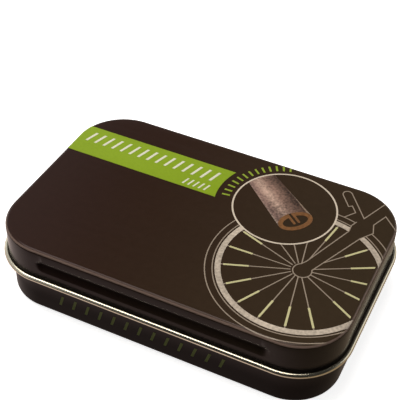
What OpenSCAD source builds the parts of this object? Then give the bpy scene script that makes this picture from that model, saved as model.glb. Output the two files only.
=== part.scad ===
// Hinged tin box that holds slit plastic tubes which clip on to wheel spokes.
// Both halves are drawn from thin sheet. The lid's lower edge is rolled outward into
// a bead, and at the back that bead is the hinge pin for two tabs curled out of the base.
// The origin is at the centre of the underside, X along the long side, front at -Y.

/* [Box] */
// Length over the lid's walls
lid_l = 95; // [88:1:130]
// Width over the lid's walls
lid_w = 61; // [54:1:80]
// Height from the underside to the lid's top
tin_h = 21.9; // [20:0.1:30]
// Corner radius of the lid's walls, seen from above
corner_r = 14; // [9:0.5:17]
// Thickness of the sheet
sheet_t = 0.25; // [0.2:0.01:0.32]

/* [Lid] */
// Outside radius of the bend round the lid's top
lid_edge_r = 1.0; // [0.6:0.05:2]
// Height from the bead's centre to the lid's top
lid_depth = 9.75; // [8.5:0.05:11]
// Outside radius of the rolled bead
bead_r = 0.75; // [0.6:0.01:0.9]
// Turn of the sheet round the bead, in degrees
bead_turn = 325; // [270:5:340]
// Depth of the snap groove pressed into the front
groove_depth = 0.35; // [0.15:0.01:0.42]
// Height of the snap groove
groove_h = 4.0; // [2.5:0.1:4.4]
// Distance from the lid's top down to the groove's middle
groove_drop = 5.6; // [5:0.1:6.4]
// Distance from the corner's start to the groove's end
groove_inset = 3.2; // [1:0.1:12]

/* [Base] */
// Distance from the lid's outer wall in to the base's outer wall
base_inset = 0.85; // [0.75:0.01:1.2]
// Outside radius of the bend round the underside
base_edge_r = 1.3; // [0.6:0.05:2]
// Distance from the lid's underside down to the base's rim
head_gap = 3.45; // [3:0.05:5]
// Outside radius of the base's inward roll
rim_r = 0.5; // [0.4:0.01:0.7]
// Turn of the sheet round the inward roll, in degrees
rim_turn = 290; // [200:5:320]

/* [Hinge] */
// Width of each hinge tab
tab_w = 10; // [6:0.5:14]
// Distance from the corner's start to the tab's middle
tab_inset = 8.5; // [7.8:0.1:20]
// Running gap between the bead and the tab's curl
pin_gap = 0.1; // [0.05:0.01:0.1]
// Inside radius of the bend at the tab's root
tab_bend_r = 0.3; // [0.15:0.01:0.4]
// Turn of the tab round the bead, in degrees
tab_turn = 220; // [190:5:235]
// Gap at each side of a tab
tab_gap = 0.5; // [0.3:0.05:1]
// Height of the lid's slot above the tab
slot_clear = 0.5; // [0.3:0.05:1]

/* [Reflector tubes] */
// Length of a tube
tube_l = 75; // [60:1:76]
// Outside diameter of a tube
tube_d = 4.3; // [3.8:0.05:4.6]
// Wall of a tube
tube_wall = 0.45; // [0.3:0.01:0.6]
// Width of the slit
slit_w = 0.9; // [0.6:0.05:1.2]
// Thickness of the lips that grip the spoke
lip_t = 0.35; // [0.25:0.01:0.45]
// Length of the lips inside the tube
lip_l = 1.2; // [0.7:0.05:1.4]
// Gap between neighbouring tubes
tube_gap = 0.05; // [0.02:0.01:0.15]
// Turn from one tube's slit to the next, in degrees, so that they face all ways
slit_turn = 77; // [0:1:180]

/* [Printed band] */
// Thickness of a printed colour field
ink_t = 0.05; // [0.03:0.01:0.1]
// Distance from the lid's wall in to the edge of the print
print_margin = 0.3; // [0.1:0.05:0.8]
// Height of the band
band_h = 11.9; // [8:0.1:14]
// Distance from the lid's back edge to the band's middle
band_back = 15.5; // [12:0.1:19]
// Gap between the band's end and the inset ring
band_gap = 5.1; // [3:0.1:10]
// Number of slanted marks in the band
band_marks = 15; // [4:1:22]
// Width of a slanted mark
mark_w = 0.75; // [0.4:0.05:1.2]
// Height of the band's marks
mark_h = 4.2; // [2:0.1:6]
// Sideways lean of a mark, for each millimetre of height
mark_lean = 0.3; // [0:0.05:0.6]
// Distance from the lid's left edge to the first mark's middle
mark_start = 4; // [3:0.1:12]
// Distance from the band's end to the last mark's middle
mark_end = 3; // [1.5:0.1:12]
// Rise of the row of marks above the band's middle
mark_rise = 1.6; // [0:0.1:2.5]
// Number of small marks under the row's end
small_marks = 5; // [1:1:10]
// Step from one small mark to the next
small_step = 1.6; // [1:0.1:2.5]
// Drop of the small marks below the band's middle
small_drop = 3.6; // [3:0.1:4.2]
// Width of a small mark
small_w = 0.5; // [0.3:0.05:0.8]
// Height of a small mark
small_h = 2.5; // [1:0.1:3]

/* [Printed wheel] */
// Distance from the lid's right edge to the hub
hub_side = 17.6; // [14:0.1:26]
// Distance from the lid's front edge to the hub
hub_front = 24.3; // [20:0.1:28]
// Radius of the tyre's outline
tyre_r = 23.8; // [22:0.1:26]
// Width of the tyre, from its outline to the line where it meets the rim
tyre_w = 1.9; // [1:0.1:4]
// Gap from that line to the rim's band
rim_gap = 0.6; // [0.4:0.1:2]
// Width of the rim's band
rim_band = 1.5; // [0.5:0.1:3]
// Gap between the rim's band and the marks on the spokes
stick_gap = 0.6; // [0.2:0.1:3]
// Number of spokes behind the fork
spokes_back = 12; // [4:1:20]
// Direction of the first spoke behind the fork, in degrees
back_start = 81; // [70:1:100]
// Turn from one spoke to the next behind the fork, in degrees
back_step = 20; // [8:1:40]
// Number of spokes before the fork
spokes_front = 5; // [2:1:8]
// Direction of the last spoke before the fork, in degrees
front_end = 48.5; // [20:0.5:56]
// Turn from one spoke to the next before the fork, in degrees
front_step = 19.5; // [8:0.5:40]
// Width of a thin printed line
line_w = 0.28; // [0.15:0.01:0.5]
// Length of the marks on the outer part of the spokes
stick_l = 6.4; // [3:0.1:9]
// Width of the marks on the spokes
stick_w = 0.55; // [0.3:0.01:1]

/* [Printed fork and brake] */
// Lean of the fork from upright, in degrees
fork_lean = 22; // [10:1:35]
// Distance from the wheel's centre to the fork's foot, to the right
fork_shift = 0.6; // [0:0.1:1.5]
// Radius of the fork's round foot
foot_r = 2.4; // [1.5:0.1:4]
// How far out the flare starts, as a share of the foot's radius
foot_flare = 0.88; // [0.7:0.01:0.9]
// Height from the foot's centre to where its flare ends
flare_h = 3.3; // [2:0.1:6]
// Width of the fork's blade at its foot
fork_tip_w = 3.1; // [1:0.1:4]
// Width of the fork's blade under its crown
fork_top_w = 3.8; // [2:0.1:5]
// Distance from the tyre's seat down to where the crown starts
crown_drop = 2.2; // [1:0.1:5]
// Width of the crown over the tyre
crown_w = 5.8; // [4:0.1:8]
// Width of the head tube
head_w = 3.3; // [2:0.1:4]
// Distance from the fork's middle to the head tube's middle, to the left
head_shift = 0.8; // [0:0.1:2]
// Gap from the tyre up to where the head tube starts
head_gap_top = 2.6; // [1:0.1:5]
// Length of the head tube down to the frame's lower tube
head_l = 5; // [3:0.1:8]
// Slope of the frame's lower tube below level, in degrees
down_slope = 45; // [30:1:60]
// Direction of the brake's arm, in degrees
arm_turn = 127; // [100:1:150]
// Length of the brake's arm
arm_l = 11.5; // [6:0.1:13]
// Width of the brake's arm at its round end
arm_w = 2.6; // [1.5:0.1:4]
// Width of the brake's arm at its neck
neck_w = 1.5; // [0.8:0.1:2]
// Distance from the head tube to the brake's pad
pad_from = 5.4; // [3:0.1:8]

/* [Printed inset] */
// Distance from the lid's right edge to the inset's centre
inset_side = 29.8; // [26:0.1:34]
// Distance from the lid's back edge to the inset's centre
inset_back = 16.9; // [15.6:0.1:20]
// Radius to the middle of the inset's ring
inset_r = 14.0; // [10:0.1:14.5]
// Width of the inset's ring
ring_w = 0.45; // [0.2:0.05:1]
// Slope of the pictured tube below level, in degrees
pic_slope = 39; // [20:1:60]
// Width of the pictured tube at its open end
pic_w = 9.9; // [6:0.1:12]
// Width of the pictured tube where it meets the ring
pic_far_w = 8; // [5:0.1:12]
// Distance from the inset's centre to the middle of the tube's open end
pic_end = 5.8; // [2:0.1:8]
// Narrow radius of the tube's open end, which is seen at a slant
pic_end_r = 3.2; // [2:0.1:4.5]
// Width of the pictured tube's wall
pic_wall = 1.3; // [0.5:0.1:1.6]
// Width of the pictured tube's slit and lips
pic_lip = 0.7; // [0.4:0.1:1]
// Distance from the pictured tube's lower edge to its light stripe
light_from = 2.1; // [0.5:0.1:4]
// Width of the light stripe
light_w = 2.6; // [0.5:0.1:4]
// Width of the light line along the upper edge
light_edge_w = 0.65; // [0.2:0.05:1.2]
// Number of short marks outside the ring
arc_marks = 13; // [3:1:16]
// Direction of the first short mark from the inset's centre, in degrees
arc_start = 188; // [150:1:200]
// Turn from one short mark to the next, in degrees
arc_step = 6.8; // [5:0.1:12]
// Gap between the ring and the short marks
arc_gap = 1.1; // [0.5:0.1:2]
// Length of a short mark
arc_mark_l = 2.2; // [1:0.1:3]
// Width of a short mark
arc_mark_w = 0.56; // [0.3:0.01:1]

/* [Printed front] */
// Number of slanted marks on the base's front
front_marks = 13; // [4:1:20]
// Width of the row of marks on the base's front
front_row = 46; // [20:1:54]
// Height of the marks on the base's front
front_mark_h = 3.4; // [2:0.1:6]
// Height of the row's middle above the underside
front_mark_z = 5.9; // [4:0.1:8]
// Distance from the row's middle to the base's middle, to the left
front_shift = 3; // [0:0.5:6]

/* [Hidden] */
$fn = 96;
ROW_1 = ["reflector_01", "reflector_02", "reflector_03", "reflector_04", "reflector_05", "reflector_06"];
ROW_2 = ["reflector_07", "reflector_08", "reflector_09", "reflector_10", "reflector_11", "reflector_12"];
ROW_3 = ["reflector_13", "reflector_14", "reflector_15", "reflector_16", "reflector_17", "reflector_18"];
ROW_4 = ["reflector_19", "reflector_20", "reflector_21", "reflector_22", "reflector_23", "reflector_24"];
REFLECTORS = concat(ROW_1, ROW_2, ROW_3, ROW_4);
LID_PRINT = ["print_band", "print_band_marks", "print_tyre", "print_rim", "print_spokes",
    "print_sticks", "print_fork", "print_brake", "print_inset_ring", "print_tube",
    "print_tube_light", "print_tube_end", "print_arc_marks"];

// How far a cut reaches past the face that it opens
cut_past = 0.05;

// Places of the four corner centres
corner_x = lid_l / 2 - corner_r;
corner_y = lid_w / 2 - corner_r;

// Base
base_r = corner_r - base_inset;
base_wall_y = lid_w / 2 - base_inset;
base_top = tin_h - sheet_t - head_gap;

// Bead and hinge axis
bead_z = tin_h - lid_depth;
bead_out = bead_r - sheet_t;
axis_y = lid_w / 2 + bead_out;
curl_r = bead_r + pin_gap;
tab_x = corner_x - tab_inset;
notch_z = bead_z + curl_r - tab_bend_r;
slot_top = bead_z + curl_r + sheet_t + slot_clear;

// Groove, a shallow arc of this radius
groove_r = (pow(groove_h / 2, 2) + pow(groove_depth, 2)) / (2 * groove_depth);
groove_z = tin_h - groove_drop;
groove_x = corner_x - groove_inset - groove_h / 2;

// Tubes, in layers that nest in each other's valleys
pitch = tube_d + tube_gap;
layer_rise = sqrt(pow(pitch, 2) - pow(pitch / 2, 2));
inner_r = base_r - sheet_t;
past_corner = max(0, tube_l / 2 - corner_x);
room_w = 2 * (corner_y + sqrt(pow(inner_r, 2) - pow(past_corner, 2)));
per_layer = floor((room_w - 2 * tube_gap) / pitch);
per_pair = 2 * per_layer - 1;

// Print, laid out from the lid's edges
hub_x = lid_l / 2 - hub_side;
hub_y = hub_front - lid_w / 2;
inset_x = lid_l / 2 - inset_side;
inset_y = lid_w / 2 - inset_back;
band_y = lid_w / 2 - band_back;
// Length of the pictured tube, which the ring cuts off
pic_back = pic_end + inset_r;
band_end_r = inset_r + band_gap;
seat_r = tyre_r - tyre_w;
rim_out_r = seat_r - rim_gap;
rim_in_r = rim_out_r - rim_band;
stick_out = rim_in_r - stick_gap;
stick_in = stick_out - stick_l;
crown_y = seat_r - crown_drop;
fork_end = tyre_r + line_w / 2;
head_low = [head_w / 2 - head_shift, tyre_r + head_gap_top];
head_high = [-head_w / 2 - head_shift, tyre_r + head_gap_top];

// A rounded rectangle with the lid's corner centres
module outline(r) {
    square([2 * (corner_x + r), 2 * corner_y], center = true);
    square([2 * corner_x, 2 * (corner_y + r)], center = true);
    for (sx = [-1, 1], sy = [-1, 1])
        translate([sx * corner_x, sy * corner_y]) circle(r);
}

// Carries a section round the box. The section's x is the distance out from the corner centres
module around() {
    for (k = [0:3]) {
        long = k % 2 == 0;
        rotate(90 * k) translate([long ? corner_x : corner_y, long ? corner_y : corner_x, 0]) {
            rotate_extrude(angle = 90) children();
            rotate([90, 0, 0]) linear_extrude(2 * (long ? corner_y : corner_x)) children();
        }
    }
}

// A strip of sheet bent round its own centre, from one angle to another
module bend(inside_r, from, to) {
    reach = 2 * (inside_r + sheet_t);
    steps = 8;
    intersection() {
        difference() {
            circle(inside_r + sheet_t);
            circle(inside_r);
        }
        polygon(concat([[0, 0]],
            [for (i = [0:steps]) let (a = from + (to - from) * i / steps) reach * [cos(a), sin(a)]]));
    }
}

module lid_section() {
    translate([0, tin_h - sheet_t]) square([corner_r - lid_edge_r, sheet_t]);
    translate([corner_r - lid_edge_r, tin_h - lid_edge_r]) bend(lid_edge_r - sheet_t, 0, 90);
    translate([corner_r - sheet_t, bead_z]) square([sheet_t, lid_depth - lid_edge_r]);
    translate([corner_r + bead_out, bead_z]) bend(bead_r - sheet_t, 180, 180 + bead_turn);
}

module base_section() {
    square([base_r - base_edge_r, sheet_t]);
    translate([base_r - base_edge_r, base_edge_r]) bend(base_edge_r - sheet_t, 270, 360);
    translate([base_r - sheet_t, base_edge_r]) square([sheet_t, base_top - rim_r - base_edge_r]);
    translate([base_r - rim_r, base_top - rim_r]) bend(rim_r - sheet_t, 0, rim_turn);
}

// The long round-ended form pressed into the front wall, which ends a little past the wall's face
module groove_form(r, past = 0) {
    intersection() {
        translate([0, -lid_w / 2 - groove_r + groove_depth, groove_z]) {
            rotate([0, 90, 0]) cylinder(r = r, h = 2 * groove_x, center = true);
            for (s = [-1, 1]) translate([s * groove_x, 0, 0]) sphere(r);
        }
        translate([-corner_x, -lid_w / 2 - past, groove_z - groove_h])
            cube([2 * corner_x, corner_r, 2 * groove_h]);
    }
}

module lid() {
    color([0.19, 0.14, 0.12]) difference() {
        union() {
            difference() {
                union() {
                    around() lid_section();
                    translate([-corner_x, -corner_y, tin_h - sheet_t])
                        cube([2 * corner_x, 2 * corner_y, sheet_t]);
                }
                groove_form(groove_r, cut_past);
            }
            difference() {
                groove_form(groove_r + sheet_t);
                groove_form(groove_r, cut_past);
            }
        }
        // Slots that let the tabs pass, above the bead
        for (s = [-1, 1]) hinge_place(s) difference() {
            translate([lid_w / 2 - 2 * sheet_t, bead_z])
                square([2 * sheet_t + cut_past, slot_top - bead_z]);
            translate([axis_y, bead_z]) circle(bead_r);
        }
    }
}

// Draws a profile of y and z across a hinge tab's width and its side gaps
module hinge_place(side, w = tab_w + 2 * tab_gap) {
    translate([side * tab_x - w / 2, 0, 0]) rotate([90, 0, 90]) linear_extrude(w) children();
}

module tab_profile() {
    translate([base_wall_y + tab_bend_r, notch_z]) bend(tab_bend_r, 90, 180);
    translate([base_wall_y + tab_bend_r, bead_z + curl_r])
        square([axis_y - base_wall_y - tab_bend_r, sheet_t]);
    translate([axis_y, bead_z]) bend(curl_r, 90 - tab_turn, 90);
}

module base() {
    color([0.16, 0.12, 0.10]) {
        difference() {
            union() {
                around() base_section();
                translate([-corner_x, -corner_y, 0]) cube([2 * corner_x, 2 * corner_y, sheet_t]);
            }
            for (s = [-1, 1]) hinge_place(s)
                translate([base_wall_y - 2 * rim_r - sheet_t, notch_z])
                    square([2 * rim_r + 2 * sheet_t, base_top]);
        }
        for (s = [-1, 1]) hinge_place(s, tab_w) tab_profile();
    }
}

// One slit tube, lying along X
module reflector(i) {
    in_pair = i % per_pair;
    low = in_pair < per_layer;
    layer = 2 * floor(i / per_pair) + (low ? 0 : 1);
    col = low ? in_pair : in_pair - per_layer;
    row = low ? per_layer : per_layer - 1;
    y = (col - (row - 1) / 2) * pitch;
    z = sheet_t + tube_d / 2 + layer * layer_rise;
    color([0.78, 0.77, 0.76])
        translate([-tube_l / 2, y, z]) rotate([90, 0, 90]) linear_extrude(tube_l)
            rotate(90 + i * slit_turn) tube_section();
}

module tube_section() {
    r = tube_d / 2;
    difference() {
        circle(r);
        circle(r - tube_wall);
        translate([0, -slit_w / 2]) square([tube_d, slit_w]);
    }
    for (s = [-1, 1]) translate([r - tube_wall - lip_l + lip_t / 2, s * (slit_w + lip_t) / 2]) {
        circle(lip_t / 2);
        translate([0, -lip_t / 2]) square([lip_l, lip_t]);
    }
}

// Ink laid on the flat of the lid's top, on a given layer
module top_print(layer = 0) {
    translate([0, 0, tin_h + layer * ink_t]) linear_extrude(ink_t) intersection() {
        outline(corner_r - lid_edge_r);
        children();
    }
}

// Ink that also runs on to the bend round the lid's top
module edge_print() {
    intersection() {
        union() {
            around() {
                translate([0, tin_h]) square([corner_r - lid_edge_r, ink_t]);
                translate([corner_r - lid_edge_r, tin_h - lid_edge_r]) intersection() {
                    difference() {
                        circle(lid_edge_r + ink_t);
                        circle(lid_edge_r);
                    }
                    square(2 * lid_edge_r);
                }
            }
            translate([-corner_x, -corner_y, tin_h]) cube([2 * corner_x, 2 * corner_y, ink_t]);
        }
        translate([0, 0, tin_h - lid_edge_r]) linear_extrude(2 * lid_edge_r) intersection() {
            outline(corner_r - print_margin);
            children();
        }
    }
}

module ring_line(r, w) {
    difference() {
        circle(r + w / 2);
        circle(r - w / 2);
    }
}

module slanted_mark(w, h) {
    lean = mark_lean * h / 2;
    polygon([[-w / 2 - lean, -h / 2], [w / 2 - lean, -h / 2],
        [w / 2 + lean, h / 2], [-w / 2 + lean, h / 2]]);
}

module at_hub() {
    translate([hub_x, hub_y]) children();
}

module at_inset() {
    translate([inset_x, inset_y]) children();
}

// The fork's own place, with y up along it from the middle of its foot
module at_fork() {
    translate([hub_x + fork_shift, hub_y]) rotate(-fork_lean) children();
}

// A thin line of the print through a list of places, with mitred joints
module stroke(places) {
    last = len(places) - 1;
    runs = [for (i = [1:last]) (places[i] - places[i - 1]) / norm(places[i] - places[i - 1])];
    sides = [for (i = [0:last]) let (a = runs[max(i - 1, 0)], b = runs[min(i, last - 1)])
        line_w / 2 / (1 + a * b) * [-a.y - b.y, a.x + b.x]];
    polygon(concat(places + sides, [for (i = [last:-1:0]) places[i] - sides[i]]));
}

// The part of the wheel that neither the inset nor the fork's outline covers
module wheel_shown() {
    difference() {
        at_hub() children();
        at_inset() circle(inset_r + ring_w / 2);
        fork_form(line_w / 2);
    }
}

// The fork's round foot, blade and crown, with each side moved out by some distance
module fork_form(out, past = 0) {
    left = [[-foot_flare * foot_r, 0], [-fork_tip_w / 2, flare_h], [-fork_top_w / 2, crown_y],
        [-crown_w / 2, seat_r], [-crown_w / 2, fork_end + past]];
    right = [[crown_w / 2, fork_end + past], [fork_top_w / 2, crown_y],
        [fork_tip_w / 2, foot_r], [fork_tip_w / 2, 0]];
    at_fork() {
        circle(foot_r + out);
        polygon([for (p = concat(left, right)) p + [sign(p.x) * out, 0]]);
    }
}

// The fork's outline, which is open at the top of its crown
module fork_lines() {
    difference() {
        fork_form(line_w / 2);
        fork_form(-line_w / 2, cut_past);
    }
}

// The head tube's right side, down to the frame's lower tube, which runs off the lid
module frame_lines() {
    at_fork() stroke([[crown_w / 2, tyre_r], head_low, head_low + [0, head_l],
        head_low + [0, head_l] + lid_l * [cos(fork_lean - down_slope), sin(fork_lean - down_slope)]]);
}

// The head tube's left side, and the brake's arm from there down to the tyre
module brake_lines() {
    arm = concat([[0, 0]],
        [for (a = [-90:22.5:90]) [arm_l - arm_w / 2, arm_w / 2] + arm_w / 2 * [cos(a), sin(a)]],
        [[pad_from, arm_w], [pad_from, neck_w], [pad_from / 2, neck_w], [neck_w, 2 * arm_w]]);
    at_fork() {
        stroke([head_high - [0, line_w / 2], head_high + [0, lid_w]]);
        translate(head_high) rotate(arm_turn + fork_lean) stroke(arm);
    }
}

module print_band() {
    color([0.54, 0.62, 0.19]) edge_print() difference() {
        translate([-lid_l / 2, band_y - band_h / 2]) square([lid_l / 2 + inset_x, band_h]);
        at_inset() circle(band_end_r);
    }
}

module print_band_marks() {
    from = -lid_l / 2 + mark_start;
    to = inset_x - band_end_r - mark_end;
    step = (to - from) / (band_marks - 1);
    color([0.86, 0.86, 0.78]) top_print(1) {
        for (i = [0:band_marks - 1])
            translate([from + i * step, band_y + mark_rise]) slanted_mark(mark_w, mark_h);
        for (i = [0:small_marks - 1])
            translate([to - small_step * i, band_y - small_drop]) slanted_mark(small_w, small_h);
    }
}

module print_tyre() {
    color([0.66, 0.60, 0.54]) edge_print() wheel_shown() {
        ring_line(tyre_r, line_w);
        ring_line(seat_r, line_w);
    }
}

module print_rim() {
    color([0.78, 0.71, 0.64]) edge_print() wheel_shown() ring_line(rim_out_r - rim_band / 2, rim_band);
}

module spoke_lines(from, to, w) {
    back = [for (i = [0:spokes_back - 1]) back_start + i * back_step];
    front = [for (i = [0:spokes_front - 1]) front_end - i * front_step];
    for (a = concat(back, front)) rotate(a) translate([from, -w / 2]) square([to - from, w]);
}

module print_spokes() {
    color([0.60, 0.55, 0.50]) top_print() wheel_shown() difference() {
        spoke_lines(foot_r, rim_in_r, line_w);
        spoke_lines(stick_in, stick_out, stick_w + 2 * line_w);
    }
}

module print_sticks() {
    color([0.80, 0.78, 0.59]) top_print() wheel_shown()
        spoke_lines(stick_in, stick_out, stick_w);
}

module print_fork() {
    color([0.66, 0.60, 0.54]) edge_print() {
        fork_lines();
        frame_lines();
    }
}

module print_brake() {
    color([0.66, 0.60, 0.54]) edge_print() difference() {
        brake_lines();
        at_hub() circle(tyre_r + line_w / 2);
    }
}

module print_inset_ring() {
    color([0.85, 0.80, 0.73]) top_print() at_inset() ring_line(inset_r, ring_w);
}

// The pictured tube's own place, with x along it towards its open end
module along_tube() {
    at_inset() rotate(-pic_slope) children();
}

// A circle of the tube's width, seen at a slant
module slant_circle(narrow, wide) {
    polygon([for (a = [0:10:350]) [narrow * cos(a), wide * sin(a)]]);
}

// A lengthwise stripe of the pictured tube, a distance up from its lower edge
module tube_stripe(from, w) {
    intersection() {
        at_inset() circle(inset_r - ring_w / 2);
        along_tube() difference() {
            polygon([for (p = [[0, 0], [1, 0], [1, 1], [0, 1]]) let (y = from + p.y * w - pic_w / 2)
                [pic_end - p.x * pic_back, y * (p.x == 1 ? pic_far_w / pic_w : 1)]]);
            translate([pic_end, 0]) slant_circle(pic_end_r, pic_w / 2);
        }
    }
}

module print_tube() {
    color([0.45, 0.38, 0.35]) top_print() tube_stripe(0, pic_w);
}

module print_tube_light() {
    color([0.60, 0.53, 0.49]) top_print(1) {
        tube_stripe(light_from, light_w);
        tube_stripe(pic_w - light_edge_w, light_edge_w);
    }
}

// The open end, a ring with a slit and two lips that turn in from it
module print_tube_end() {
    color([0.50, 0.34, 0.20]) top_print() along_tube() translate([pic_end, 0]) {
        difference() {
            slant_circle(pic_end_r, pic_w / 2);
            slant_circle(pic_end_r - pic_wall, pic_w / 2 - pic_wall);
            translate([-pic_end_r, -pic_lip / 2]) square([pic_end_r, pic_lip]);
        }
        for (s = [-1, 1]) translate([0, s * pic_lip]) {
            translate([-pic_end_r + pic_wall / 2, -pic_lip / 2]) square([pic_end_r, pic_lip]);
            translate([pic_wall / 2, 0]) circle(pic_lip / 2);
        }
    }
}

module print_arc_marks() {
    color([0.50, 0.60, 0.20]) top_print() at_inset()
        for (i = [0:arc_marks - 1]) rotate(arc_start - i * arc_step)
            translate([inset_r + ring_w / 2 + arc_gap, -arc_mark_w / 2]) square([arc_mark_l, arc_mark_w]);
}

module print_front_marks() {
    step = front_row / (front_marks - 1);
    color([0.33, 0.38, 0.20]) translate([0, -base_wall_y, 0]) rotate([90, 0, 0]) linear_extrude(ink_t)
        for (i = [0:front_marks - 1])
            translate([-front_row / 2 - front_shift + i * step, front_mark_z])
                slanted_mark(mark_w, front_mark_h);
}

base();
lid();
print_front_marks();
print_band();
print_band_marks();
print_tyre();
print_rim();
print_spokes();
print_sticks();
print_fork();
print_brake();
print_inset_ring();
print_tube();
print_tube_light();
print_tube_end();
print_arc_marks();
for (i = [0:len(REFLECTORS) - 1])
    reflector(i);
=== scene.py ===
"""Finishes for a closed, hinged tin box that holds slit tubes for wheel spokes.

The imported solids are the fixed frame. The two halves of the tin and the tubes are
modelled again at the same size with smooth bends, and the printed colour fields keep
their solids. Every length here is in metres.
"""

import logging
import math
from dataclasses import dataclass
from enum import Enum

import bmesh
import bpy
from mathutils import Matrix, Vector


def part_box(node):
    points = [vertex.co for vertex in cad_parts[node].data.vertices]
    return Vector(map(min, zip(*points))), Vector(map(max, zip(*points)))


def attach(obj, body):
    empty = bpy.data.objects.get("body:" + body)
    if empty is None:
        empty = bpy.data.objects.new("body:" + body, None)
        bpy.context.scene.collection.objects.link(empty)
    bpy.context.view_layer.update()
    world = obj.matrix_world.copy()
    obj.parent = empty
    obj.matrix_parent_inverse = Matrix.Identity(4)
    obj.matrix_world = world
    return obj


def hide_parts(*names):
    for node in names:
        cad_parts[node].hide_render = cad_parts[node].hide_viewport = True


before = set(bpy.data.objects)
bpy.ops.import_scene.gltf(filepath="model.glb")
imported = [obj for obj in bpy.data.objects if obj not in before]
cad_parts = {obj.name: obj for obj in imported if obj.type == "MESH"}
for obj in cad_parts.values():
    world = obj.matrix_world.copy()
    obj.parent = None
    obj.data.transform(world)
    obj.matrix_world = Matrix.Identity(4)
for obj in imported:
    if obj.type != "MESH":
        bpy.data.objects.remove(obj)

Colour = tuple[float, float, float]
Span = tuple[float, float]
Socket = bpy.types.NodeSocket
Line = list[Span]
Piece = bpy.types.Object
Tree = bpy.types.NodeTree
Coats = tuple[bpy.types.Material, bpy.types.Material]

LOG = logging.getLogger("tin")

# A millimetre, a hair of room, and the reach of rounding errors.
MM = 0.001
HAIR = MM / 100
NEAR = MM / 1000

# The tint of the lacquers' gloss, and how far each way from the middle a colour drifts; the lid's drift
# is partly a hue change, partly a painted sheen towards the right.
LACQUER_TINT: Colour = (1.0, 0.91, 0.92)
DRIFT_AND_SHEEN_REACH = 48 * MM

# Painted shade over the bead, darker and duller; and a paler band on the bend, partly lacquer wear and
# partly a painted highlight.
CREVICE_SHADE: Colour = (0.07, 0.055, 0.05)
CREVICE_SHADE_ROUGH = 0.6
WEAR_AND_HIGHLIGHT: Colour = (0.53, 0.45, 0.41)
WEAR_AND_HIGHLIGHT_SHARE = 0.8

# The uneven lacquer: how much finer its second noise is, and the spread of both together.
MOTTLE_FINER = 22.0
MOTTLE_SPREAD: Span = (0.7, 1.3)

# Handling marks: their direction, their stretch, how fine they are and the noise they use.
SCUFF_TURN = 28
SCUFF_STRETCH = (1.0, 14.0, 4.0)
SCUFF_SCALE = 40.0
SCUFF_SPREAD: Span = (0.35, 0.75)

# Inks by the node of their colour field. The two fields of the pictured tube have their own.
LINE_INK: Colour = (0.59, 0.535, 0.475)
INKS: dict[str, Colour] = {
    "print_front_marks": (0.49, 0.56, 0.19),
    "print_band": (0.515, 0.62, 0.11),
    "print_band_marks": (0.86, 0.86, 0.78),
    "print_tyre": LINE_INK,
    "print_rim": (0.73, 0.68, 0.62),
    "print_spokes": LINE_INK,
    "print_sticks": (0.77, 0.75, 0.57),
    "print_fork": LINE_INK,
    "print_brake": LINE_INK,
    "print_inset_ring": (0.82, 0.77, 0.70),
    "print_tube_end": (0.50, 0.34, 0.20),
    "print_arc_marks": (0.54, 0.62, 0.19),
}
# The fields whose ink is uneven, the gloss of all ink, and the limit of smooth shading.
GRAINY = ("print_rim", "print_tube_end")
INK_GLOSS: Span = (0.3, 0.4)
INK_SPECULAR = 0.3
SMOOTH_ANGLE = 35


def linear(srgb: Colour) -> tuple[float, float, float, float]:
    """Turns a colour seen on screen into the linear colour that a shader takes.

    Args:
        srgb: Red, green and blue, each from 0 to 1 as on screen.

    Returns:
        The linear colour with an alpha of 1.
    """
    low = 0.04045
    red, green, blue = (
        part / 12.92 if part <= low else ((part + 0.055) / 1.055) ** 2.4 for part in srgb
    )
    return (red, green, blue, 1.0)


def grey(level: float) -> tuple[float, float, float, float]:
    """Gives the linear grey of a level."""
    return (level, level, level, 1.0)


class Side(Enum):
    """The face of a sheet that a finish lies on."""

    OUTSIDE = 0
    INSIDE = 1


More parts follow.
